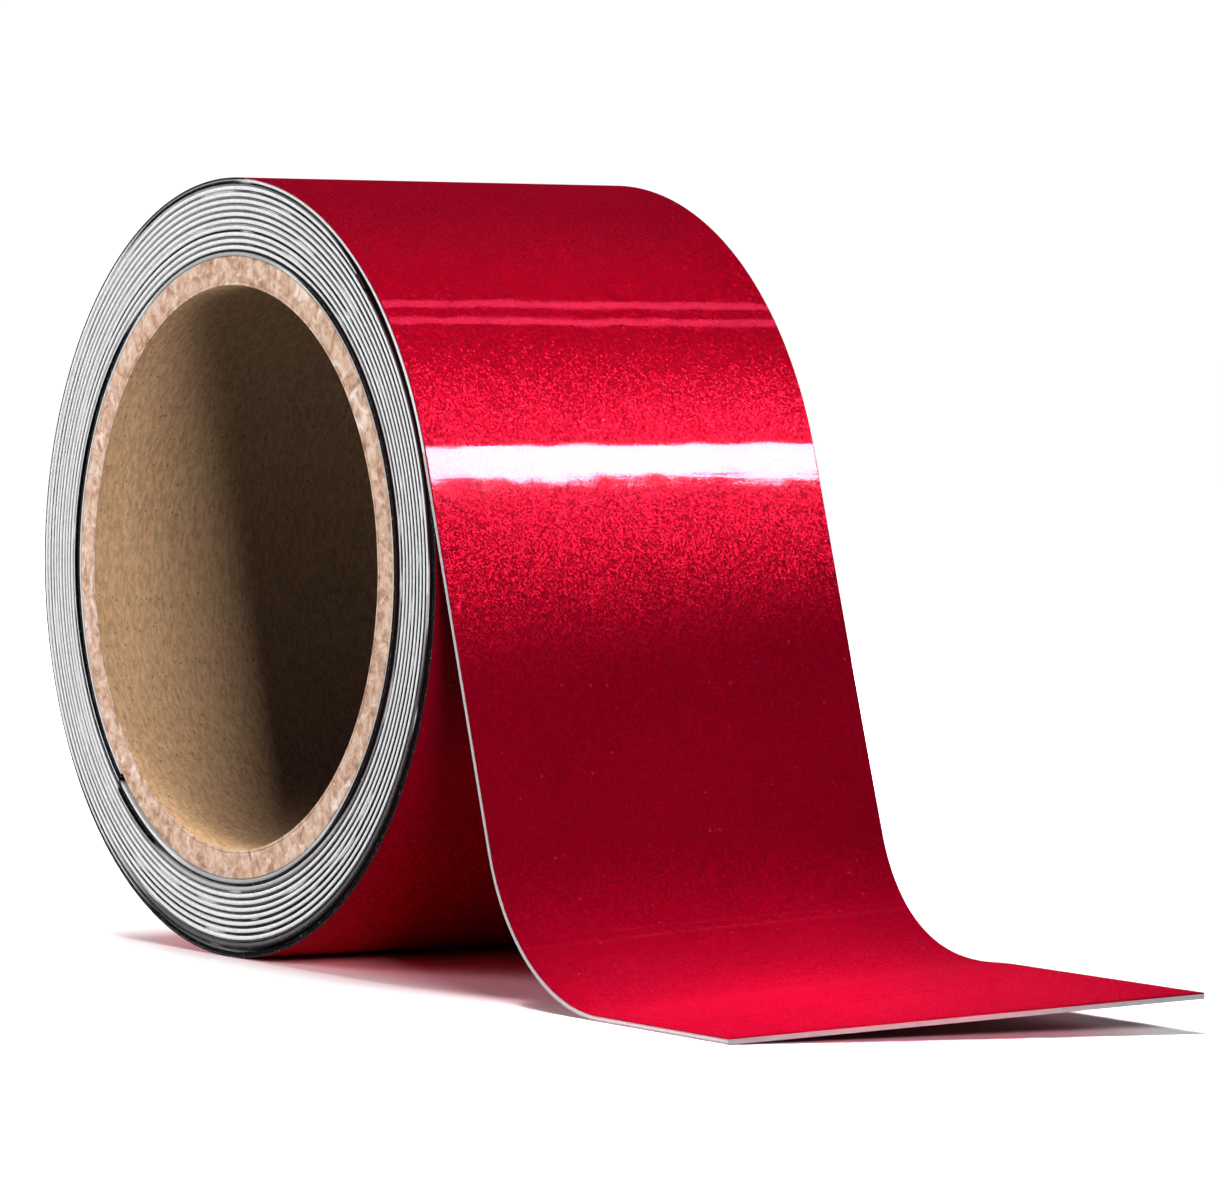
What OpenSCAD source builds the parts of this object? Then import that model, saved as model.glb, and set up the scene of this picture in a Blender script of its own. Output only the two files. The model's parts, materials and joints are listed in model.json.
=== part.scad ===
// Roll of sign vinyl: a pressure-sensitive film on a release liner, wound film side
// out on a paperboard core, with its free end pulled over the front of the roll and
// laid flat on the table.
//
// Frame: millimetres, +Z up. The core's axis is Y and the origin is the middle of the
// bore. The web leaves the roll towards +X, and the table is at the roll's lowest line.

/* [Core] */
// Inside diameter of the paperboard core
bore_d = 76.2; // [60:0.1:90]
// Thickness of the core's wall
core_wall = 3.9; // [3:0.1:6]
// Thickness of the smooth paper ply inside and outside the core
facing_t = 0.45; // [0.3:0.05:0.6]

/* [Web] */
// Width of the slit web, which is also the length of the core
web_w = 61; // [25:1:150]
// Thickness of the release liner
liner_t = 0.55; // [0.2:0.05:0.7]
// Thickness of the adhesive
adhesive_t = 0.08; // [0.05:0.01:0.15]
// Thickness of the vinyl film
film_t = 0.17; // [0.1:0.01:0.25]
// Full turns of web on the core, under the outermost turn
wraps = 10; // [4:1:14]
// Air left between one turn and the next
wrap_gap = 0.05; // [0.03:0.01:0.1]
// Running clearance between the wound pack and the outermost turn
turn_clearance = 0.3; // [0.2:0.05:0.5]

/* [Free end] */
// Angle above the horizontal where the web leaves the roll
leave_angle = 18.7; // [12:0.1:26]
// Radius of the bend where the hanging web meets the table, on its underside
bend_r = 27.8; // [22:0.1:34]
// Flat length between the bend and the line where the end can be lifted
flat_run = 7.6; // [6:0.1:12]
// Flat length between the lifting line and the line where the film can be peeled
peel_start = 8; // [6:0.5:12]
// Flat length between the lifting line and the cut, at the near edge
end_run = 21.2; // [16:0.1:40]
// How much further the cut reaches at the far edge
cut_skew = 14.8; // [0:0.1:18]

/* [Start tape] */
// Thickness of the double-sided tape that starts the web on the core
tape_t = 0.12; // [0.08:0.01:0.15]
// Length of that tape around the core
tape_len = 18; // [10:1:30]

/* [Hidden] */
BODY_PLIES = 4;
$fn = 180;

// Gap between neighbouring pieces at a fold line
seam = 0.04;
// Air between the core's surface and the first turn
tape_room = 0.2;

bore_r = bore_d / 2;
core_r = bore_r + core_wall;
ply_t = (core_wall - 2 * facing_t) / BODY_PLIES;
web_t = liner_t + adhesive_t + film_t;
pitch = web_t + wrap_gap;
pack_r0 = core_r + tape_room;
pack_r1 = pack_r0 + wraps * pitch + web_t;
outer_r0 = pack_r1 + turn_clearance;
roll_r = outer_r0 + web_t;

// Depths of the three layers, measured from the liner's inner face
LINER = [0, liner_t];
ADHESIVE = [liner_t, liner_t + adhesive_t];
FILM = [liner_t + adhesive_t, web_t];

// The straight run drops from leave_pt to bend_pt, and the bend turns about bend_c.
leave_pt = outer_r0 * unit(leave_angle);
bend_pt_z = -roll_r + bend_r * (1 - sin(leave_angle));
drop = (leave_pt.y - bend_pt_z) / cos(leave_angle);
bend_pt = leave_pt + drop * unit(leave_angle - 90);
bend_c = bend_pt + bend_r * unit(leave_angle);
lift_x = bend_c.x + flat_run;
peel_x = lift_x + peel_start;

LINER_GREY = [0.87, 0.87, 0.88];
ADHESIVE_GREY = [0.25, 0.25, 0.27];
FILM_RED = [0.72, 0.01, 0.13];
KRAFT = [0.67, 0.51, 0.37];
BOARD = [0.88, 0.76, 0.67];
TAPE_TAN = [0.80, 0.70, 0.50];

// Unit vector at an angle in the XZ plane
function unit(a) = [cos(a), sin(a)];

// Pulls an XZ outline across the full width of the web.
module across_web() {
    rotate([90, 0, 0])
        linear_extrude(height = web_w, center = true)
            children();
}

// Flat ring
module ring(r_in, r_out) {
    difference() {
        circle(r = r_out);
        circle(r = r_in);
    }
}

// Flat wedge of radius r, from angle a0 round to a1, under 180 degrees apart
module wedge(a0, a1, r) {
    mid = (a0 + a1) / 2;
    reach = r / cos((a1 - a0) / 2);
    polygon([[0, 0], r * 1.5 * unit(a0), reach * 2 * unit(mid), r * 1.5 * unit(a1)]);
}

// One full turn of the spiral: a lower half about the axis, then an upper half about
// a centre half a pitch away, so that each turn runs smoothly into the next.
module turn(r_in, thick) {
    size = 2 * (r_in + thick + pitch);
    intersection() {
        ring(r_in, r_in + thick);
        translate([-size / 2, -size]) square([size, size]);
    }
    translate([pitch / 2, 0])
        intersection() {
            ring(r_in + pitch / 2, r_in + pitch / 2 + thick);
            translate([-size / 2, 0]) square([size, size]);
        }
}

// One layer of the wound pack
module pack_layer(layer) {
    across_web()
        for (i = [0:wraps - 1])
            turn(pack_r0 + i * pitch + layer[0], layer[1] - layer[0]);
}

// One layer of the outermost turn, from where the web leaves round to the +X side
module outer_layer(layer) {
    across_web()
        difference() {
            ring(outer_r0 + layer[0], outer_r0 + layer[1]);
            wedge(0, leave_angle, roll_r);
        }
}

// One layer of the hanging web: straight run, bend, and flat run to the lifting line.
// All three are drawn about the bend's centre, so that they meet exactly.
module tail_layer(layer) {
    thick = layer[1] - layer[0];
    across_web()
        translate(bend_c) {
            rotate(leave_angle)
                translate([layer[0] - bend_r, 0]) square([thick, drop]);
            intersection() {
                ring(bend_r - layer[1], bend_r - layer[0]);
                rotate(leave_angle)
                    translate([-2 * bend_r, -2 * bend_r]) square([4 * bend_r, 2 * bend_r]);
                translate([-2 * bend_r, -2 * bend_r]) square([2 * bend_r, 4 * bend_r]);
            }
            translate([0, layer[0] - bend_r]) square([flat_run - seam, thick]);
        }
}

// One flat layer from x0 to the cut end, which runs further at the far edge
module cut_layer(x0, layer) {
    near_x = lift_x + end_run;
    translate([0, 0, layer[0] - roll_r])
        linear_extrude(height = layer[1] - layer[0])
            polygon([[x0, -web_w / 2], [near_x, -web_w / 2],
                     [near_x + cut_skew, web_w / 2], [x0, web_w / 2]]);
}

// One flat layer from x0 to x1, square at both ends
module strip_layer(x0, x1, layer) {
    translate([x0, -web_w / 2, layer[0] - roll_r])
        cube([x1 - x0, web_w, layer[1] - layer[0]]);
}

// Paper tube of the core, between two radii
module ply(r_in, r_out) {
    across_web() ring(r_in, r_out);
}

// Smooth kraft ply that lines the bore
module core_inner_ply() {
    color(KRAFT) ply(bore_r, bore_r + facing_t);
}

// Thick board plies, counted from the inside
module core_body_ply(i) {
    r_in = bore_r + facing_t + (i - 1) * ply_t;
    color(BOARD) ply(r_in, r_in + ply_t);
}

// Smooth ply on the outside of the core
module core_outer_ply() {
    color(BOARD) ply(core_r - facing_t, core_r);
}

// Strip of tape between the core and the inner end of the web
module start_tape() {
    half_angle = tape_len / core_r * 90 / PI;
    color(TAPE_TAN)
        across_web()
            intersection() {
                ring(core_r, core_r + tape_t);
                wedge(-half_angle, half_angle, core_r + tape_t);
            }
}

module pack_liner() {
    color(LINER_GREY) pack_layer(LINER);
}

module pack_adhesive() {
    color(ADHESIVE_GREY) pack_layer(ADHESIVE);
}

module pack_film() {
    color(FILM_RED) pack_layer(FILM);
}

module outer_liner() {
    color(LINER_GREY) outer_layer(LINER);
}

module outer_adhesive() {
    color(ADHESIVE_GREY) outer_layer(ADHESIVE);
}

module outer_film() {
    color(FILM_RED) outer_layer(FILM);
}

module tail_liner() {
    color(LINER_GREY) tail_layer(LINER);
}

module tail_adhesive() {
    color(ADHESIVE_GREY) tail_layer(ADHESIVE);
}

module tail_film() {
    color(FILM_RED) tail_layer(FILM);
}

module end_liner() {
    color(LINER_GREY) cut_layer(lift_x, LINER);
}

module end_adhesive() {
    color(ADHESIVE_GREY) strip_layer(lift_x, peel_x - seam, ADHESIVE);
}

module end_film() {
    color(FILM_RED) strip_layer(lift_x, peel_x - seam, FILM);
}

module flap_adhesive() {
    color(ADHESIVE_GREY) cut_layer(peel_x, ADHESIVE);
}

module flap_film() {
    color(FILM_RED) cut_layer(peel_x, FILM);
}

core_inner_ply();
for (i = [1:BODY_PLIES])
    core_body_ply(i);
core_outer_ply();
start_tape();
pack_liner();
pack_adhesive();
pack_film();
outer_liner();
outer_adhesive();
outer_film();
tail_liner();
tail_adhesive();
tail_film();
end_liner();
end_adhesive();
end_film();
flap_adhesive();
flap_film();
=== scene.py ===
import json
import math

import bmesh
import bpy
import numpy as np
from mathutils import Matrix, Vector, noise


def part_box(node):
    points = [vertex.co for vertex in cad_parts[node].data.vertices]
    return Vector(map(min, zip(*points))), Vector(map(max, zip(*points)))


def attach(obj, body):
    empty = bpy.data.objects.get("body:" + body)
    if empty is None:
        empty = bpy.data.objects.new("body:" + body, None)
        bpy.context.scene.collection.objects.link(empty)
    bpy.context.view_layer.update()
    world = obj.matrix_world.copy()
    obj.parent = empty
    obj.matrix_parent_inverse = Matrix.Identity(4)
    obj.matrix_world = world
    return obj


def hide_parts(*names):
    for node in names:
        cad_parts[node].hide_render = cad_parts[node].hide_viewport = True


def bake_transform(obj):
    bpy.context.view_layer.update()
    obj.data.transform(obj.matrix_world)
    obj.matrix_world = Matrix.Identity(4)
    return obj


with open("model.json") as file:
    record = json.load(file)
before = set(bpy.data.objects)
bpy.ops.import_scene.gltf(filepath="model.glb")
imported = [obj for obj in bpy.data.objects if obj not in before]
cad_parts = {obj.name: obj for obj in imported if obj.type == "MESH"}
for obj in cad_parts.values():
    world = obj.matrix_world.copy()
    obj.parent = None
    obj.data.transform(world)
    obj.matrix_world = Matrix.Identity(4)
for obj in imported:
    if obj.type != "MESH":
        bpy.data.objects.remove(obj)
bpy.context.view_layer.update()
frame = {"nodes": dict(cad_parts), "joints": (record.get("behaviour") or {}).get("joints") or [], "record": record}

# ---------------------------------------------------------------- sizes, in metres
MM = 0.001
RECORD = frame["record"]
JOINT = {j["name"]: j for j in frame["joints"]}


def size_of(node):
    """Lengths of a CAD node's box."""
    low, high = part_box(node)
    return high - low


BORE_R = next(m for m in RECORD["mounts"] if m["name"] == "core_bore")["dims"]["r_mm"] * MM
HALF_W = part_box("end_film")[1].y
LINER_T = size_of("end_liner").z
ADHESIVE_T = size_of("end_adhesive").z
FILM_T = size_of("end_film").z
WEB_T = LINER_T + ADHESIVE_T + FILM_T
LINING_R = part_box("core_inner_ply")[1].z
CORE_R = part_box("core_outer_ply")[1].z
ROLL_R = -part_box("end_liner")[0].z
OUTER_R0 = ROLL_R - WEB_T
LIFT_X = JOINT["free_end_lift"]["pos_m"][0]
PEEL_X = JOINT["film_peel"]["pos_m"][0]
NEAR_CUT_X = min(v.co.x for v in frame["nodes"]["flap_film"].data.vertices
                 if v.co.y < 0 and v.co.x > PEEL_X + 1 * MM)
FAR_CUT_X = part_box("flap_film")[1].x

LEAVE = math.radians(18.7)       # where the web leaves the roll, above horizontal
BEND_R = 27.8 * MM               # bend above the table, on the web's underside
FAR_LIFT = 4.2 * MM              # how high the far edge of the flat end stands
FAR_LIFT_X = (60 * MM, 96 * MM)  # where it starts to rise, and where it has its full height


# ---------------------------------------------------------------- small helpers
def smooth(a, b, x):
    """Smooth step from 0 at a to 1 at b."""
    t = min(1.0, max(0.0, (x - a) / (b - a)))
    return t * t * (3 - 2 * t)


def wobble(x, y, z=0.0):
    """Smooth noise from -1 to 1."""
    return noise.noise(Vector((x, y, z)))


def make_mesh(name, verts, faces, material, smooth_shade=True):
    """New object in the scene, with one material or several."""
    mesh = bpy.data.meshes.new(name)
    mesh.from_pydata([tuple(v) for v in verts], [], faces)
    mesh.validate()
    mesh.update()
    if smooth_shade:
        mesh.polygons.foreach_set("use_smooth", [True] * len(mesh.polygons))
    obj = bpy.data.objects.new(name, mesh)
    bpy.context.scene.collection.objects.link(obj)
    for m in material if isinstance(material, (list, tuple)) else [material]:
        mesh.materials.append(m)
    return obj


def point_attribute(obj, name, values):
    """A number on every point, for a material to read."""
    attribute = obj.data.attributes.new(name, "FLOAT", "POINT")
    attribute.data.foreach_set("value", np.asarray(values, np.float32))


# ---------------------------------------------------------------- materials
BLACK, WHITE = (0, 0, 0), (1, 1, 1)


class Nodes:
    """Short way to build a node material."""

    def __init__(self, name):
        self.material = bpy.data.materials.new(name)
        self.material.use_nodes = True
        self.tree = self.material.node_tree
        self.tree.nodes.clear()
        out = self.tree.nodes.new("ShaderNodeOutputMaterial")
        self.shader = self.tree.nodes.new("ShaderNodeBsdfPrincipled")
        self.link(self.shader.outputs[0], out.inputs["Surface"])
        self.coords = self.tree.nodes.new("ShaderNodeTexCoord").outputs["Object"]

    def link(self, a, b):
        self.tree.links.new(a, b)

    def feed(self, value, socket):
        """Links another node's output to a socket, or sets a plain value on it."""
        if isinstance(value, bpy.types.NodeSocket):
            self.link(value, socket)
        else:
            socket.default_value = value

    def set(self, **values):
        for name, value in values.items():
            self.shader.inputs[name.replace("_", " ")].default_value = value

    def node(self, kind, inputs=None, **settings):
        made = self.tree.nodes.new("ShaderNode" + kind)
        for key, value in settings.items():
            setattr(made, key, value)
        for key, value in (inputs or {}).items():
            self.feed(value, made.inputs[key])
        return made

    def scaled(self, scale):
        return self.node("Mapping", {"Vector": self.coords, "Scale": scale}).outputs[0]

    def noise(self, scale, detail, rough=0.55, stretch=(1, 1, 1), distortion=0.0):
        return self.node("TexNoise", {"Vector": self.scaled(stretch), "Scale": scale,
                                      "Detail": detail, "Roughness": rough,
                                      "Distortion": distortion}).outputs["Fac"]

    def ramp(self, fac, stops):
        made = self.node("ValToRGB", {"Fac": fac})
        elements = made.color_ramp.elements
        while len(elements) < len(stops):
            elements.new(0.5)
        for element, (at, colour) in zip(elements, stops):
            element.position = at
            element.color = (*colour, 1)
        return made.outputs["Color"]

    def rising(self, fac, start, end):
        """0 up to start, 1 from end on."""
        return self.ramp(fac, [(start, BLACK), (end, WHITE)])

    def falling(self, fac, start, end):
        """1 up to start, 0 from end on."""
        return self.ramp(fac, [(start, WHITE), (end, BLACK)])

    def mix(self, fac, a, b):
        """Colour that goes from a to b as fac goes from 0 to 1."""
        # the colour mix's own sockets, among those of its other kinds
        return self.node("Mix", {0: fac, 6: a, 7: b}, data_type="RGBA").outputs[2]

    def math(self, operation, a, b, clamp=False):
        return self.node("Math", {0: a, 1: b}, operation=operation, use_clamp=clamp).outputs[0]

    def seen(self):
        """1 where the camera looks at the surface, 0 for light bounced off it."""
        return self.node("LightPath").outputs["Is Camera Ray"]

    def edge_darkness(self):
        """How dark the slit edge is painted here, from 0 to 1; on the wound turns mostly painted shade."""
        return self.node("Attribute", attribute_name="edge_darkness").outputs["Fac"]

    def bump(self, height, strength, distance, normal=None):
        inputs = {"Height": height, "Strength": strength, "Distance": distance}
        if normal is not None:
            inputs["Normal"] = normal
        return self.node("Bump", inputs).outputs[0]


def grey(v):
    return (v, v, v, 1)


FLAKE_TILT = 0.56                # how far the flakes lean from the film's surface
COAT_IOR = 1.45
COAT_MIRROR = 0.006              # share of light that the clear layer mirrors at any angle


def film_material():
    """Metallic red film: fine flake in a dark red body, under a smooth clear layer."""
    m = Nodes("film_metallic_red")
    flake = m.node("TexVoronoi", {"Vector": m.coords, "Scale": 5000.0}, feature="F1")
    coarse = m.node("TexVoronoi", {"Vector": m.coords, "Scale": 1100.0}, feature="F1")
    cloud = m.noise(scale=60, detail=3)
    base = m.ramp(cloud, [(0.3, (0.38, 0.0004, 0.0170)), (0.7, (0.42, 0.0006, 0.0195))])
    rare = m.node("SeparateColor", {"Color": coarse.outputs["Color"]}).outputs[0]
    rare = m.rising(rare, 0.93, 0.99)
    near = m.falling(coarse.outputs["Distance"], 0.12, 0.30)
    # a few large flakes stand out
    base = m.mix(m.math("MULTIPLY", m.math("MULTIPLY", rare, near), 0.8), base,
                 (0.85, 0.03, 0.10, 1))
    # it colours the light it bounces on to its surroundings strongly
    m.link(m.mix(m.seen(), (0.95, 0.02, 0.08, 1), base), m.shader.inputs["Base Color"])
    # each flake tilts its own way
    tilt = m.node("VectorMath", {0: flake.outputs["Color"], 1: (0.5, 0.5, 0.5)},
                  operation="SUBTRACT")
    tilt = m.node("VectorMath", {0: tilt.outputs[0]}, operation="SCALE")
    tilt.inputs["Scale"].default_value = FLAKE_TILT
    geometry = m.node("NewGeometry").outputs["Normal"]
    bent = m.node("VectorMath", {0: geometry, 1: tilt.outputs[0]}, operation="ADD")
    bent = m.node("VectorMath", {0: bent.outputs[0]}, operation="NORMALIZE")
    m.link(bent.outputs[0], m.shader.inputs["Normal"])
    # the clear layer is slightly wavy and finely brushed along the width
    wave = m.bump(m.noise(scale=85, detail=2, rough=0.4), strength=0.20, distance=0.4 * MM)
    brushed = m.noise(scale=1500, detail=2, rough=0.5, stretch=(1, 0.03, 1))
    fine = m.bump(brushed, strength=0.06, distance=0.05 * MM, normal=wave)
    m.link(fine, m.shader.inputs["Coat Normal"])
    # and its reflection does not climb at grazing angles
    fresnel = m.node("Fresnel", {"IOR": COAT_IOR}).outputs[0]
    m.link(m.math("DIVIDE", COAT_MIRROR, fresnel, clamp=True), m.shader.inputs["Coat Weight"])
    m.set(Metallic=0.55, Roughness=0.40, Specular_IOR_Level=0.12, Coat_Roughness=0.05,
          Coat_IOR=COAT_IOR)
    return m.material


def film_edge_material():
    """Slit edge of the film and adhesive on the wound turns, dark and slightly ragged: grey, painted near black
    for shade in the gaps between turns.
    """
    m = Nodes("film_slit_edge")
    speck = m.noise(scale=2500, detail=3)
    # near black with specks: painted shade
    painted_dark = m.ramp(speck, [(0.35, (0.006, 0.006, 0.007)), (0.62, (0.03, 0.03, 0.032)),
                           (0.80, (0.25, 0.25, 0.26))])
    unshaded_grey = m.ramp(m.noise(scale=1300, detail=4),
                   [(0.3, (0.36, 0.36, 0.365)), (0.7, (0.62, 0.62, 0.62))])
    # painted shade: the edge goes from grey to near black as its painted darkness rises
    m.link(m.mix(m.edge_darkness(), unshaded_grey, painted_dark), m.shader.inputs["Base Color"])
    m.link(m.bump(speck, strength=0.5, distance=0.06 * MM), m.shader.inputs["Normal"])
    m.set(Roughness=0.45, Specular_IOR_Level=0.1)
    return m.material


def plain_material(name, dark, light):
    """Half-glossy and faintly mottled between two colours."""
    m = Nodes(name)
    speck = m.noise(scale=900, detail=3)
    m.link(m.ramp(speck, [(0.3, dark), (0.8, light)]), m.shader.inputs["Base Color"])
    m.link(m.bump(speck, strength=0.3, distance=0.05 * MM), m.shader.inputs["Normal"])
    m.set(Roughness=0.35)
    return m.material


def liner_material():
    """Coated release paper: near white, faint fibre, slit edges a little grey, and painted near black for shade on
    the wound turns.
    """
    m = Nodes("release_liner_paper")
    fibre = m.noise(scale=1800, detail=5, rough=0.6, stretch=(1, 0.3, 1))
    cloud = m.noise(scale=140, detail=3)
    pale = m.ramp(fibre, [(0.25, (0.56, 0.565, 0.58)), (0.7, (0.75, 0.75, 0.755))])
    pale = m.mix(m.math("MULTIPLY", cloud, 0.35), pale, (0.48, 0.48, 0.50, 1))
    # painted shade: the slit edges go from the pale paper to near black with specks as their painted darkness
    # rises
    dark = m.ramp(m.noise(scale=1500, detail=4),
                  [(0.52, (0.003, 0.003, 0.004)), (0.66, (0.02, 0.02, 0.02)),
                   (0.76, (0.35, 0.35, 0.35))])
    cover = m.rising(m.edge_darkness(), 0.25, 0.65)
    # it hardly lights the film that faces it
    m.link(m.mix(m.seen(), grey(0.10), m.mix(cover, pale, dark)),
           m.shader.inputs["Base Color"])
    m.link(m.bump(fibre, strength=0.35, distance=0.05 * MM), m.shader.inputs["Normal"])
    m.set(Roughness=0.55, Specular_IOR_Level=0.1)
    return m.material


def kraft_material():
    """Smooth brown kraft paper lining the bore."""
    m = Nodes("core_kraft_paper")
    grain = m.noise(scale=2000, detail=5, rough=0.7, stretch=(0.35, 1, 0.35))
    cloud = m.noise(scale=70, detail=4)
    brown = m.ramp(grain, [(0.38, (0.50, 0.295, 0.155)), (0.62, (0.88, 0.53, 0.29))])
    brown = m.mix(m.math("MULTIPLY", cloud, 0.4), brown, (0.88, 0.55, 0.31, 1))
    specks = m.node("TexVoronoi", {"Vector": m.scaled((0.6, 1, 0.6)), "Scale": 2000.0},
                    feature="F1")
    near = m.falling(specks.outputs["Distance"], 0.12, 0.30)
    rare = m.node("SeparateColor", {"Color": specks.outputs["Color"]}).outputs[0]
    rare = m.rising(rare, 0.55, 0.85)
    brown = m.mix(m.math("MULTIPLY", m.math("MULTIPLY", near, rare), 0.75), brown,
                  (0.10, 0.055, 0.03, 1))
    # light does not bounce about inside the bore, so it stays dark further in
    m.link(m.mix(m.seen(), (0.03, 0.02, 0.012, 1), brown), m.shader.inputs["Base Color"])
    m.link(m.bump(grain, strength=0.4, distance=0.06 * MM), m.shader.inputs["Normal"])
    m.set(Roughness=0.75, Specular_IOR_Level=0.1)
    return m.material


def board_material():
    """Cut edge of the core's board: pinkish tan fibres with paler tufts."""
    m = Nodes("core_board_fibre")
    fibre = m.noise(scale=650, detail=6, rough=0.62, distortion=0.6)
    tuft = m.noise(scale=210, detail=5, rough=0.6, distortion=1.8)
    tan = m.ramp(fibre, [(0.32, (0.28, 0.140, 0.090)), (0.50, (0.50, 0.325, 0.235)),
                         (0.68, (0.66, 0.51, 0.42))])
    tan = m.mix(m.ramp(tuft, [(0.55, BLACK), (0.72, (0.8, 0.8, 0.8))]), tan,
                (0.80, 0.71, 0.65, 1))
    m.link(tan, m.shader.inputs["Base Color"])
    m.link(m.bump(fibre, strength=0.6, distance=0.15 * MM), m.shader.inputs["Normal"])
    m.set(Roughness=0.85)
    return m.material


def tape_material():
    """Creped paper tape."""
    m = Nodes("start_tape_paper")
    crepe = m.noise(scale=1200, detail=4, rough=0.5, stretch=(1, 0.2, 1))
    m.link(m.ramp(crepe, [(0.3, (0.50, 0.38, 0.20)), (0.7, (0.62, 0.50, 0.30))]),
           m.shader.inputs["Base Color"])
    m.link(m.bump(crepe, strength=0.4, distance=0.05 * MM), m.shader.inputs["Normal"])
    m.set(Roughness=0.6)
    return m.material


FILM = film_material()
FILM_EDGE = film_edge_material()
ADHESIVE = plain_material("adhesive_clear", (0.40, 0.38, 0.38), (0.55, 0.53, 0.53))
# painted shade: the film's faces inside the pack, seen only in the gaps between turns, are dark red instead of the
# film's red
FILM_SHADED = plain_material("film_in_pack_painted_shade", (0.030, 0.0005, 0.002), (0.050, 0.001, 0.003))
LINER = liner_material()
KRAFT = kraft_material()
BOARD = board_material()
TAPE = tape_material()


# ---------------------------------------------------------------- swept webs
WEB_ROWS = 28                             # rows of points across the free web
EDGE_ROW = 0.12 * MM                      # the second row's distance from the edge
MIDDLE_ROWS = 8 * EDGE_ROW                # where the even rows start


def rows_across(rows, b):
    """Positions across the width, with a close pair at each edge to keep it crisp."""
    end = HALF_W - b
    if rows < 4:
        return [-end, end]
    middle = np.linspace(-end + MIDDLE_ROWS, end - MIDDLE_ROWS, rows - 4)
    return [-end, EDGE_ROW - end, *middle, end - EDGE_ROW, end]


def ribbon(name, stations, low, high, materials, rows=2, shift=None, edge=0,
           bevel=0.04 * MM, thin=None, edge_darkness=None):
    """Closed strip swept along stations. Each station gives (point, normal) in XZ at a y.
    low and high are the layer's depths along the normal, scaled by thin at a station.
    shift slides a station sideways. edge is the slit edges' material index, which may
    depend on the station. The last argument, a function of (i, outer), gives how dark the slit
    edge is painted at a station, on its inner or outer side: painted shade on the wound turns."""
    b = min(bevel, (high - low) / 3)
    inner = rows_across(rows, b)
    rows = len(inner)
    section = [(-HALF_W, low + b)] + [(y, low) for y in inner] + [(HALF_W, low + b)]
    section += [(HALF_W, high - b)] + [(y, high) for y in inner[::-1]] + [(-HALF_W, high - b)]
    ring, count = len(section), len(stations)
    side_of = edge if callable(edge) else lambda i: edge
    edge_inner, edge_outer = (0, 1, rows, rows + 1), (rows + 2, rows + 3, ring - 2, ring - 1)
    verts, faces, mats, painted_dark = [], [], [], []
    for i, station in enumerate(stations):
        dy = shift(i) if shift else 0.0
        k = thin(i) if thin else 1.0
        for j, (y, depth) in enumerate(section):
            (px, pz), (nx, nz) = station(y)
            verts.append((px + nx * depth * k, y + dy, pz + nz * depth * k))
            at_edge = j in edge_inner or j in edge_outer or i == count - 1
            painted_dark.append(edge_darkness(i, j in edge_outer) if edge_darkness and at_edge else 0.0)
    for i in range(count - 1):
        for j in range(ring):
            k = (j + 1) % ring
            faces.append((i * ring + j, (i + 1) * ring + j, (i + 1) * ring + k, i * ring + k))
            at_edge = j == 0 or rows <= j <= rows + 2 or j >= 2 * rows + 2
            mats.append(side_of(i) if at_edge else 0)
    faces.append(tuple(range(ring)))
    faces.append(tuple((count - 1) * ring + j for j in range(ring))[::-1])
    mats += [side_of(count - 1)] * 2
    obj = make_mesh(name, verts, faces, materials)
    obj.data.polygons.foreach_set("material_index", mats)
    # flat end faces leave the shading of the strip's surface alone
    obj.data.polygons.foreach_set("use_smooth", [True] * (len(faces) - 2) + [False] * 2)
    # the painted shade of the slit edges goes on the points, for the materials to read
    if edge_darkness:
        point_attribute(obj, "edge_darkness", painted_dark)
    turn_outward(obj)
    return obj


def turn_outward(obj):
    """Makes the faces of a closed mesh point outward."""
    bm = bmesh.new()
    bm.from_mesh(obj.data)
    bmesh.ops.recalc_face_normals(bm, faces=bm.faces)
    bm.to_mesh(obj.data)
    bm.free()


def run_length(stations):
    """Length of the web along its stations, at mid-width."""
    points = [Vector(station(0.0)[0]) for station in stations]
    return sum((b - a).length for a, b in zip(points, points[1:]))


def still(point, normal):
    """Station that is the same all across the width."""
    return lambda y: (point, normal)


def between(at, *points):
    """Piecewise-linear value at a place, from (place, value) pairs."""
    return float(np.interp(at, [p[0] for p in points], [p[1] for p in points]))


# ---------------------------------------------------------------- the wound pack
PACK_START = 225                          # where the inner end of the web lies, degrees
PACK_END = 48                             # where its outer end lies
PACK_TURNS = 10 + (PACK_START - PACK_END) / 360
GAP = 0.06 * MM                           # air under the first turn and round the last
PACK_R0 = CORE_R + GAP
PACK_ROOM = OUTER_R0 - GAP                # nothing in the pack may stand out past this
STATIONS_PER_TURN = 200
CLIMB_FROM = 0.86                         # share of a turn where the web starts to climb
EVENED_PER_TURN = 0.03                    # share of the climb that each turn evens out
CRESCENT_AT = math.radians(8)             # the first turn stands off here and opposite
CRESCENT_OPENS = (0.92, 1.14)             # turns over which the air outside it opens
CRESCENT_AIR = (0.45, 0.40)               # its share of all the air: mean and swing
FLUTTER = 0.010 * MM                      # unevenness of the radius
WANDER, JITTER = 0.10 * MM, 0.035 * MM    # slow and quick sideways shifts in winding
END_TAPER = 0.045                         # turns over which the outer end thins out
END_THIN = 0.25                           # what is left of its thickness at the very end
END_DARK = 0.01                          # turns of liner at the very end that are painted dark
FIRST_DARK = 1.1                         # turns of film from the core whose slit edges are painted fully dark


def stacked(turns):
    """How many webs lie under this point of the spiral. The first turn lies on the core
    and climbs over its own start; further out the climb is spread over the turn."""
    n = int(turns)
    f = turns - n
    even = EVENED_PER_TURN * n
    return n + (1 - even) * smooth(CLIMB_FROM, 1.0, f) + even * f


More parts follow.
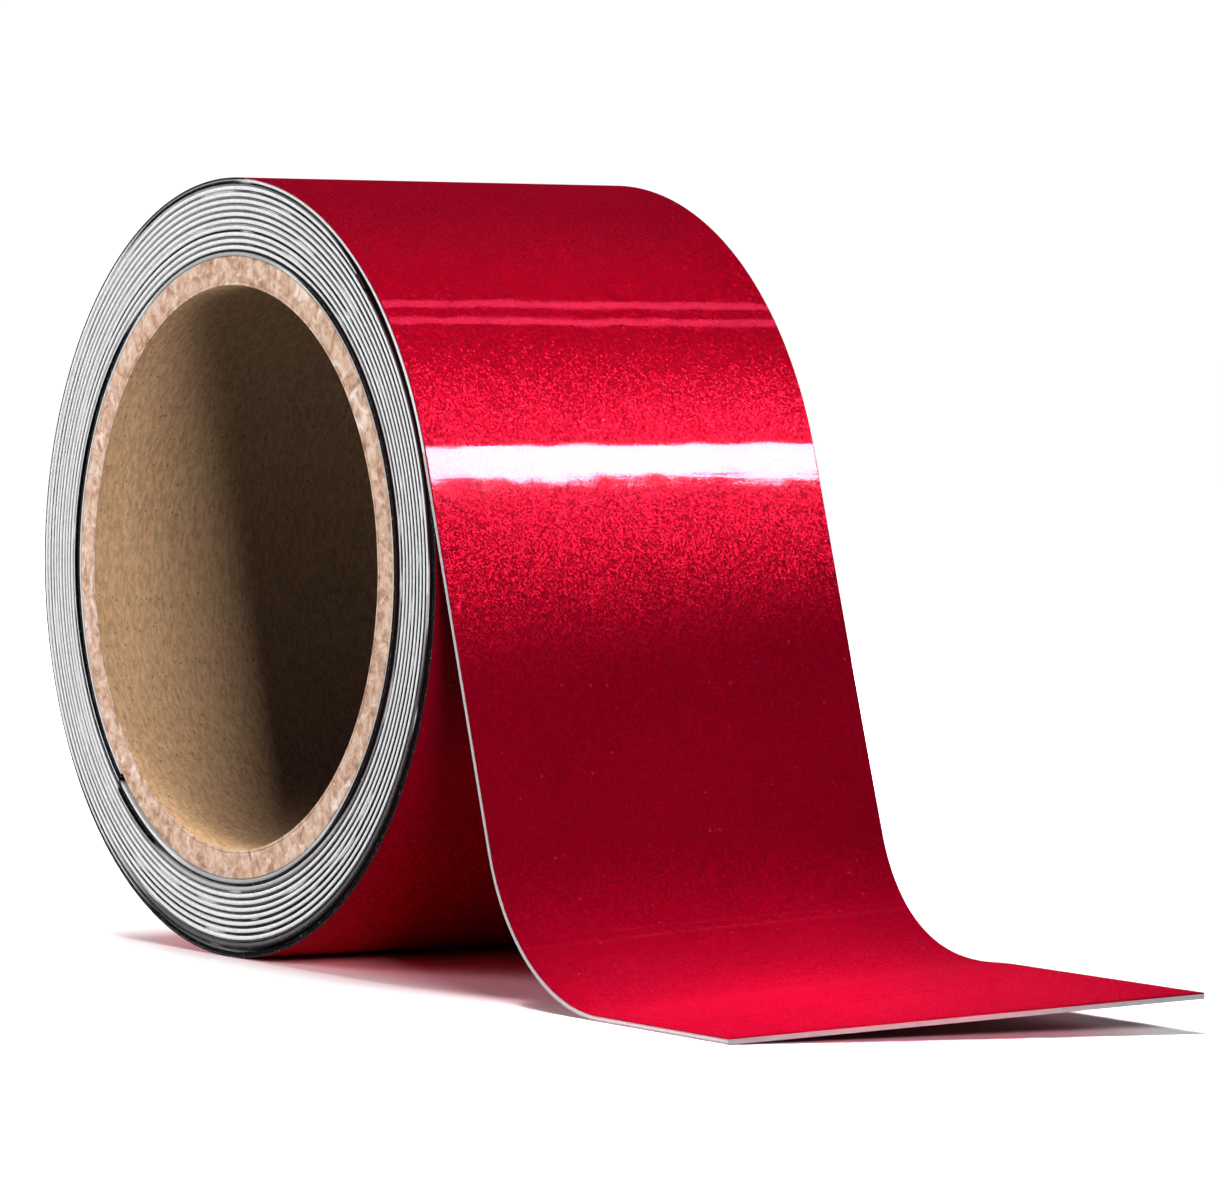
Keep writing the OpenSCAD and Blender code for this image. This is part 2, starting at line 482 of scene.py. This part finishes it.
def pack_outside(turns):
    """Outer radius of the pack's last turn. Its slack, in millimetres, is given by the
    turns that are left to its outer end."""
    slack = between(turns - PACK_TURNS, (-1.0, 0.87), (-0.9, 0.72), (-0.85, 0.58),
                    (-0.73, 0.42), (-0.6, 0.30), (-0.5, 0.06), (-0.4, 0.0))
    return PACK_ROOM - slack * MM


def pack_radius(turns, angle):
    """Radius of the web's underside. The air between the turns is shared out unevenly:
    most of it lies in two crescents outside the first turn."""
    mean, swing = CRESCENT_AIR
    first = mean + swing * math.cos(2 * (angle - CRESCENT_AT))

    def share(t):
        further = max(0.0, t - 1) / (PACK_TURNS - 1)
        return first * smooth(*CRESCENT_OPENS, t) + (1 - first) * further

    last = PACK_TURNS - (PACK_TURNS - turns) % 1.0
    air = pack_outside(last) - WEB_T - PACK_R0 - WEB_T * stacked(last)
    flutter = FLUTTER * wobble(3 * math.cos(angle), 3 * math.sin(angle), 5.3 * turns)
    return PACK_R0 + WEB_T * stacked(turns) + air * share(turns) / share(last) + flutter


def pack_turns(i):
    """Turns from the inner end to a station."""
    return min(PACK_TURNS, i / STATIONS_PER_TURN)


def pack_angle(turns):
    """Where that point of the spiral lies, in radians."""
    return math.radians(PACK_START - 360 * turns)


def pack_stations():
    """Stations along the whole spiral, from its inner end."""
    made = []
    for i in range(math.ceil(PACK_TURNS * STATIONS_PER_TURN) + 1):
        turns = pack_turns(i)
        angle = pack_angle(turns)
        r = pack_radius(turns, angle)
        direction = (math.cos(angle), math.sin(angle))
        made.append(still((r * direction[0], r * direction[1]), direction))
    return made


def pack_shift(i):
    """How far the web wandered sideways as it was wound."""
    turns = i / STATIONS_PER_TURN
    return WANDER * wobble(0.9 * turns, 3.1) + JITTER * wobble(7 * turns, 9.7)


def pack_thin(i):
    """The outer end thins out where it goes over into the outermost turn."""
    taper = smooth(PACK_TURNS - END_TAPER, PACK_TURNS, pack_turns(i))
    return 1.0 - (1.0 - END_THIN) * taper


def pack_liner_shade(i, outer):
    """Painted shade on the slit edges of the wound liner: round the crescents of air, below
    on the second and the last turn, and dark on the very end."""
    turns = pack_turns(i)
    angle = pack_angle(turns)
    degrees = math.degrees(angle) % 360
    # painted shade where the crescents of air open between the turns
    crescent = smooth(0.30, 0.75, abs(math.cos(angle - CRESCENT_AT)))
    if turns < 1:
        return max(crescent * (1.0 if outer else 0.2), 0.45 * (1 - crescent))
    low = between(degrees, (215, 0), (245, 1), (345, 1), (360, 0.6))
    if turns < 2:
        return max(0.42 * low, 0.0 if outer else 0.9 * crescent)
    if turns > PACK_TURNS - END_DARK:
        return 1.0
    if turns > PACK_TURNS - 1 and degrees > 200:
        return 0.60 * low
    return 0.0


def pack_edge_shade(i, outer):
    """Painted shade on the slit edges of the wound film and adhesive: by the angle, uneven
    from turn to turn, and lighter in a few short patches."""
    turns = pack_turns(i)
    if turns < FIRST_DARK:
        return 1.0
    angle = pack_angle(turns)
    degrees = math.degrees(angle) % 360
    # painted shade by the angle: darkest round the +X and lower side, lightest from 125 to 205 degrees
    around = between(degrees, (0, 1), (50, 0.95), (95, 0.8), (125, 0.50), (205, 0.50),
                     (235, 0.8), (260, 1))
    uneven = 1.6 * wobble(0.6 * math.cos(angle), 0.6 * math.sin(angle), 3.7 * round(turns))
    uneven += 0.5 * wobble(1.7 * turns, 4.4)
    lighter_patch = smooth(0.34, 0.50, wobble(7 * math.cos(angle), 7 * math.sin(angle), 0.9 * turns))
    edge_shaded = min(1.0, max(0.0, around + uneven * (1.15 - around)))
    return edge_shaded * (1 - lighter_patch)


def build_pack():
    """The wound turns, as three layers of one spiral."""
    stations = pack_stations()
    common = dict(shift=pack_shift, thin=pack_thin)
    liner = ribbon("wound_liner", stations, 0, LINER_T, LINER, bevel=0.09 * MM,
                   edge_darkness=pack_liner_shade, **common)
    adhesive = ribbon("wound_adhesive", stations, LINER_T, LINER_T + ADHESIVE_T,
                      FILM_EDGE, edge_darkness=pack_edge_shade, **common)
    # the wound film's faces are painted dark red for shade, its slit edges painted near black
    film = ribbon("wound_film", stations, LINER_T + ADHESIVE_T, WEB_T,
                  [FILM_SHADED, FILM_EDGE], rows=6, edge=1, edge_darkness=pack_edge_shade, **common)
    flat = (2 * HALF_W, run_length(stations))
    for obj, node in ((liner, "liner"), (adhesive, "adhesive"), (film, "film")):
        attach(obj, "pack")
        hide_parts("pack_" + node)


# ---------------------------------------------------------------- the outer web
LEAVE_DEG = math.degrees(LEAVE)
ROLL_STEP = 1.5                           # degrees between stations on the roll
WEDGE = 3.5                               # the inner end stops this many degrees short
WEDGE_REACH = 0.3                         # radians over which it can be less than full
WEDGE_GAP = 0.03 * MM                     # air between it and the leaving web
TAIL_EDGE_GREY = 0.40                         # how dark the slit edges of the hanging liner are painted
DARK_EDGES_FROM = 88                           # film and adhesive slit edges are painted near black from this angle round
BEND_Z = -ROLL_R + BEND_R * (1 - math.sin(LEAVE))
DROP = (OUTER_R0 * math.sin(LEAVE) - BEND_Z) / math.cos(LEAVE)
SIDE = (math.cos(LEAVE), math.sin(LEAVE))
BEND_X = OUTER_R0 * SIDE[0] + DROP * math.sin(LEAVE) + BEND_R * SIDE[0]


def lift(x, y):
    """Height of the flat end above the table: the far edge stands a little proud."""
    across = (y + HALF_W) / (2 * HALF_W)
    return FAR_LIFT * across * smooth(*FAR_LIFT_X, x)


def lifted(x, z, nx, nz):
    """Station raised across the width as the flat end is."""
    return lambda y: ((x, z + lift(x, y)), (nx, nz))


def cut_x(y):
    """Where the slanting cut lies at y."""
    return NEAR_CUT_X + (FAR_CUT_X - NEAR_CUT_X) * (y + HALF_W) / (2 * HALF_W)


def roll_angles():
    """The outermost turn, from its inner end under the tail back to where it leaves."""
    return np.arange(360 + LEAVE_DEG - WEDGE, LEAVE_DEG + ROLL_STEP / 3, -ROLL_STEP)


def roll_thin(angle):
    """The inner end is a wedge in the corner between the roll and the leaving web."""
    corner = math.radians(360 + LEAVE_DEG - angle)
    if corner > WEDGE_REACH:
        return 1.0
    return min(1.0, (OUTER_R0 / math.cos(corner) - OUTER_R0 - WEDGE_GAP) / WEB_T)


def hanging_stations():
    """Straight run, bend, and flat run to the lifting line."""
    straight, bend, flat = 48, 49, 8
    made = []
    for t in np.linspace(0, 1, straight):
        x = OUTER_R0 * SIDE[0] + DROP * t * math.sin(LEAVE)
        z = OUTER_R0 * SIDE[1] - DROP * t * math.cos(LEAVE)
        made.append(lifted(x, z, *SIDE))
    for a in np.linspace(math.pi + LEAVE, 1.5 * math.pi, bend)[1:]:
        c, s = math.cos(a), math.sin(a)
        made.append(lifted(BEND_X + BEND_R * c, BEND_R - ROLL_R + BEND_R * s, -c, -s))
    for x in np.linspace(BEND_X, LIFT_X, flat)[1:]:
        made.append(lifted(x, -ROLL_R, 0, 1))
    return made


def flat_stations(x0, x1, count):
    """Flat run from x0 to x1. Without x1 it runs to the slanting cut."""
    made = []
    for t in np.linspace(0, 1, count):
        def station(y, t=t):
            x = x0 + ((x1 or cut_x(y)) - x0) * t
            return (x, -ROLL_R + lift(x, y)), (0, 1)
        made.append(station)
    return made


def web_liner_shade(angle, outer):
    """Painted shade on the slit edge of the outermost turn: heavy on the lower half, lighter
    over the top."""
    low = between(angle, (205, 0), (222, 0.85 if outer else 0), (262, 1))
    top = between(angle, (26, 0), (46, 1), (84, 1), (90, 0)) * (0.0 if outer else 0.8)
    crown = between(angle, (82, 0), (90, 1), (116, 1), (140, 0)) * (0.50 if outer else 0.80)
    return max(low, top, crown)


def build_web():
    """Outermost turn, tail and flat end; the film and adhesive beyond the peeling line
    are pieces of their own."""
    angles = roll_angles()
    roll = []
    for a in np.radians(angles):
        c, s = math.cos(a), math.sin(a)
        roll.append(still((OUTER_R0 * c, OUTER_R0 * s), (c, s)))
    on_roll = len(roll)
    hang = hanging_stations()
    to_peel = flat_stations(LIFT_X, PEEL_X, count=16)[1:]
    to_cut = flat_stations(PEEL_X, None, count=30)
    fixed = roll + hang + to_peel

    def thin(i):
        return roll_thin(angles[i]) if i < on_roll else 1.0

    def edge_darkness(i, outer):
        return web_liner_shade(angles[i], outer) if i < on_roll else TAIL_EDGE_GREY

    # the film's and adhesive's slit edges on the roll are painted fully dark
    def roll_edge_dark(i, outer):
        return 1.0 if i < on_roll else 0.0

    def dark(i):
        return 1 if i < on_roll and angles[i] > DARK_EDGES_FROM else 0

    liner = ribbon("web_liner", fixed + to_cut[1:], 0, LINER_T, LINER, rows=WEB_ROWS,
                   bevel=0.08 * MM, thin=thin, edge_darkness=edge_darkness)
    adhesive = ribbon("web_adhesive", fixed, LINER_T, LINER_T + ADHESIVE_T,
                      [ADHESIVE, FILM_EDGE], rows=WEB_ROWS, edge=dark, thin=thin, edge_darkness=roll_edge_dark)
    film = ribbon("web_film", fixed, LINER_T + ADHESIVE_T, WEB_T, [FILM, FILM_EDGE],
                  rows=WEB_ROWS, edge=dark, thin=thin, edge_darkness=roll_edge_dark)
    flat = (2 * HALF_W, run_length(fixed + to_cut[1:]))
    flat = (2 * HALF_W, run_length(fixed))
    for obj, kind in ((liner, "liner"), (adhesive, "adhesive"), (film, "film")):
        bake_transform(obj)
        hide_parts("outer_" + kind, "tail_" + kind, "end_" + kind)
    flap_film = ribbon("flap_film_sheet", to_cut, LINER_T + ADHESIVE_T, WEB_T, FILM,
                       rows=WEB_ROWS)
    flap_adhesive = ribbon("flap_adhesive_coat", to_cut, LINER_T, LINER_T + ADHESIVE_T,
                           ADHESIVE, rows=WEB_ROWS)
    run_length(to_cut)
    for obj, kind in ((flap_film, "film"), (flap_adhesive, "adhesive")):
        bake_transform(obj)
        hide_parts("flap_" + kind)


# ---------------------------------------------------------------- the core
RIM_ROUND = 0.12 * MM
ROUGH_RADIAL, ROUGH_AROUND = 900, 14      # fineness of the cut ends' unevenness


def tube(name, r_in, r_out, materials, end_rough, seed):
    """Tube along Y with rounded rims, its cut ends slightly uneven. The cut ends take
    the last of the materials."""
    around, radial, along = 360, 9, 9
    b = min(RIM_ROUND, (r_out - r_in) / 3)
    rs = np.linspace(r_in + b, r_out - b, radial)
    half = HALF_W
    section = [(r_in, -half + b)] + [(r, -half) for r in rs] + [(r_out, -half + b)]
    wall = np.linspace(-half + b, half - b, along)
    section += [(r_out, y) for y in wall[1:-1]]
    section += [(r_out, half - b)] + [(r, half) for r in rs[::-1]] + [(r_in, half - b)]
    section += [(r_in, y) for y in wall[::-1][1:-1]]
    ring = len(section)
    verts, faces = [], []
    for i in range(around):
        a = 2 * math.pi * i / around
        c, s = math.cos(a), math.sin(a)
        for r, y in section:
            if math.isclose(abs(y), half, abs_tol=1e-9):
                rough = wobble(r * ROUGH_RADIAL + seed, c * ROUGH_AROUND + seed, s * ROUGH_AROUND)
                y -= math.copysign(end_rough * (0.5 + 0.5 * rough), y)
            verts.append((r * c, y, r * s))
    for i in range(around):
        n = (i + 1) % around
        for j in range(ring):
            k = (j + 1) % ring
            faces.append((i * ring + j, n * ring + j, n * ring + k, i * ring + k))
    obj = make_mesh(name, verts, faces, materials)
    ends = [all(abs(verts[v][1]) > half - 1.5 * b for v in f) for f in faces]
    obj.data.polygons.foreach_set("material_index", [(len(materials) - 1) * e for e in ends])
    turn_outward(obj)
    return obj


def build_core():
    """Kraft lining and board body; the start tape stays as its CAD node."""
    lining = tube("core_lining", BORE_R, LINING_R, [KRAFT, BOARD], end_rough=0.05 * MM, seed=3.0)
    board = tube("core_board", LINING_R, CORE_R, [BOARD], end_rough=0.12 * MM, seed=11.0)
    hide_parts("core_inner_ply")
    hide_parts("core_body_ply_1", "core_body_ply_2", "core_body_ply_3",
                "core_body_ply_4", "core_outer_ply")
    for obj, slot in ((lining, "core_kraft"), (board, "core_board")):
        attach(obj, "pack")
    tape = frame["nodes"]["start_tape"]
    tape.data.materials.clear()
    tape.data.materials.append(TAPE)


# ---------------------------------------------------------------- camera, light, table
VIEW_AZIMUTH, VIEW_ELEVATION, VIEW_ROLL = map(math.radians, (56.9, 2.55, 0.75))
VIEW_DISTANCE = 957.6 * MM
VIEW_LENS, VIEW_SENSOR = 205.15, 36.0
AIM_RIGHT, AIM_UP = 25.9 * MM, -3.2 * MM
TABLE_GAP = 0.01 * MM                     # the table lies this far under the roll
ROOM_SEEN, ROOM_LIGHT = 1.05, 0.01        # the room's strength for the camera and as light
PAINTED_RED_SHADE = (22 * MM, 36 * MM)               # over this distance the table's painted red shade fades out
TABLE_GLOW = (100 * MM, 450 * MM)         # and over this distance its glow comes up


def placed(place, side, up, back):
    """Matrix of a camera or light at a place, from its three axes."""
    return Matrix((
        (side.x, up.x, back.x, place.x), (side.y, up.y, back.y, place.y),
        (side.z, up.z, back.z, place.z), (0, 0, 0, 1)))


def view_axes():
    """Right, up and back of the level view; back points from the roll to the camera."""
    a, e = VIEW_AZIMUTH, VIEW_ELEVATION
    back = Vector((math.sin(a) * math.cos(e), -math.cos(a) * math.cos(e), math.sin(e)))
    right = Vector((math.cos(a), math.sin(a), 0))
    return right, back.cross(right), back


def camera_place():
    """Where the camera stands: back from a point a little to the right of the roll."""
    right, up, back = view_axes()
    return AIM_RIGHT * right + AIM_UP * up + VIEW_DISTANCE * back


def build_camera():
    right, up, back = view_axes()
    c, s = math.cos(VIEW_ROLL), math.sin(VIEW_ROLL)
    data = bpy.data.cameras.new("camera")
    data.lens, data.sensor_width = VIEW_LENS, VIEW_SENSOR
    data.clip_start, data.clip_end = 0.05, 50
    camera = bpy.data.objects.new("camera", data)
    bpy.context.scene.collection.objects.link(camera)
    camera.matrix_world = placed(camera_place(), c * right + s * up, c * up - s * right, back)
    bpy.context.scene.camera = camera


def softbox(name, aim, direction, distance, size, radiance, spread=180, long_axis=(0, 0, 1),
            glossy=True, diffuse=True, colour=WHITE, face=None):
    """Rectangular light standing off from aim in a direction, its first side along
    long_axis, turned to face another point if one is given. Lengths in millimetres;
    radiance is that of its face. Without glossy it shows in no reflection, without
    diffuse only in reflections."""
    data = bpy.data.lights.new(name, "AREA")
    data.shape = "RECTANGLE"
    data.size, data.size_y = size[0] * MM, size[1] * MM
    # a narrow beam is brighter along its axis for the same power
    narrow = math.radians(180 - spread) / 2
    gain = 2 / (2 + (2 * narrow - math.pi) * math.tan(narrow))
    data.energy = radiance / gain * math.pi * data.size * data.size_y
    data.spread = math.radians(spread)
    data.color = colour
    light = bpy.data.objects.new(name, data)
    light.visible_camera = False
    light.visible_glossy = glossy
    light.visible_diffuse = diffuse
    bpy.context.scene.collection.objects.link(light)
    place = Vector(aim) * MM + Vector(direction).normalized() * distance * MM
    back = (place - Vector(face or aim) * MM).normalized()
    side = Vector(long_axis)
    side = (side - side.dot(back) * back).normalized()
    light.matrix_world = placed(place, side, back.cross(side), back)


def mirrored(angle):
    """A spot on the roll's film whose normal is at this angle (degrees), and the direction
    in which the camera sees a reflection there."""
    a = math.radians(angle)
    normal = Vector((math.cos(a), 0, math.sin(a)))
    spot = normal * ROLL_R
    to_camera = (camera_place() - spot).normalized()
    return spot / MM, 2 * normal.dot(to_camera) * normal - to_camera


def build_world():
    """White for the camera, nearly dark as a light."""
    world = bpy.data.worlds.new("studio")
    bpy.context.scene.world = world
    world.use_nodes = True
    tree = world.node_tree
    tree.nodes.clear()
    out = tree.nodes.new("ShaderNodeOutputWorld")
    seen = tree.nodes.new("ShaderNodeBackground")
    seen.inputs["Color"].default_value = grey(1.0)
    seen.inputs["Strength"].default_value = ROOM_SEEN
    room = tree.nodes.new("ShaderNodeBackground")
    room.inputs["Color"].default_value = grey(1.0)
    room.inputs["Strength"].default_value = ROOM_LIGHT
    path = tree.nodes.new("ShaderNodeLightPath")
    mix = tree.nodes.new("ShaderNodeMixShader")
    tree.links.new(path.outputs["Is Camera Ray"], mix.inputs["Fac"])
    tree.links.new(room.outputs[0], mix.inputs[1])
    tree.links.new(seen.outputs[0], mix.inputs[2])
    tree.links.new(mix.outputs[0], out.inputs["Surface"])


def build_table():
    """White table, with painted red shade near the roll's foot. Further from the roll it glows for the camera, so
    it stays white.
    """
    m = Nodes("table_white")
    mottle = m.noise(scale=8, detail=2)
    white = m.ramp(mottle, [(0.3, (0.92, 0.92, 0.92)), (0.7, (0.94, 0.94, 0.94))])
    # painted shade: close to the line from the roll's foot to the flat end the table's colour is tinted dark pink,
    # standing in for the shadow there reddened by light off the film
    place = m.node("SeparateXYZ", {"Vector": m.coords})
    within = m.node("Clamp", {"Value": place.outputs[0], "Min": -6 * MM, "Max": 110 * MM})
    beyond = m.math("SUBTRACT", place.outputs[0], within.outputs[0])
    offset = m.node("CombineXYZ", {"X": beyond, "Y": place.outputs[1]})
    reach = m.node("VectorMath", {0: offset.outputs[0]}, operation="LENGTH").outputs["Value"]
    near = m.falling(reach, *PAINTED_RED_SHADE)
    white = m.mix(near, white, (0.90, 0.38, 0.46, 1))
    bounced = m.mix(near, grey(0.08), (0.90, 0.05, 0.15, 1))
    m.link(m.mix(m.seen(), bounced, white), m.shader.inputs["Base Color"])
    centre = (40 * MM, 0, -ROLL_R)
    away = m.node("VectorMath", {0: m.coords, 1: centre}, operation="DISTANCE")
    glow = m.node("MapRange", {"Value": away.outputs["Value"], "From Min": TABLE_GLOW[0],
                               "From Max": TABLE_GLOW[1], "To Min": 0.0, "To Max": 1.0})
    m.link(m.math("MULTIPLY", glow.outputs[0], m.seen()), m.shader.inputs["Emission Strength"])
    m.set(Roughness=0.9, Specular_IOR_Level=0.1, Emission_Color=grey(1.0))
    size, z = 6.0, -ROLL_R - TABLE_GAP
    corners = [(-size, -size, z), (size, -size, z), (size, size, z), (-size, size, z)]
    table = make_mesh("table", corners, [(0, 1, 2, 3)], m.material, smooth_shade=False)


STRIP_AT, STRIP_FACES = 18.9, 20.5        # degrees round the roll, as for mirrored()
LINES_AT = (43.4, 40.1)
STRIP_COLOUR, LINE_COLOUR = (1, 0.54, 0.75), (1, 0.05, 0.16)


def build_lights():
    # from above, behind and the -X side: top of the roll, and the shadow in front of it
    softbox("overhead", aim=(20, 0, 0), direction=(-0.36, 0.06, 1), distance=950,
            size=(700, 300), radiance=23, long_axis=(1, 0, 0), glossy=False)
    # low on the +X side: reaches a little way into the bore
    softbox("key", aim=(0, -30, 0), direction=(0.92, -0.18, 0.30), distance=600,
            size=(140, 150), radiance=36, glossy=False)
    # front, from the side the film faces away from: end face, slit edges, table
    softbox("front", aim=(0, -30, 0), direction=(-0.55, -0.8, 0.06), distance=700,
            size=(400, 400), radiance=20, glossy=False)
    # the far side
    softbox("back", aim=(0, 30, 0), direction=(-0.6, 0.75, 0.10), distance=700,
            size=(400, 400), radiance=9, glossy=False)
    # bright strip mirrored in the film where it leaves the roll, turned a little upward;
    # its red lights up the flakes round it
    spot, away = mirrored(STRIP_AT)
    above, _ = mirrored(STRIP_FACES)
    softbox("strip", aim=spot, direction=away, distance=120, size=(110, 9), radiance=340,
            spread=24, long_axis=(0, 1, 0), face=above, colour=STRIP_COLOUR, diffuse=False)
    # two faint lines mirrored higher up
    for number, angle in enumerate(LINES_AT):
        spot, away = mirrored(angle)
        softbox("line_%d" % number, aim=spot, direction=away, distance=500, size=(260, 22),
                radiance=85, spread=9, long_axis=(0, 1, 0), colour=LINE_COLOUR, diffuse=False)
    # from above, on the flat end only
    softbox("end", aim=(107, 0, -52), direction=(-0.3, -0.1, 0.95), distance=400,
            size=(50, 80), radiance=800, spread=14, long_axis=(1, 0, 0), glossy=False)


build_camera()
build_core()
build_pack()
build_web()
build_world()
build_table()
build_lights()
bpy.context.scene.view_settings.view_transform = "Standard"
bpy.context.scene.view_settings.look = "None"
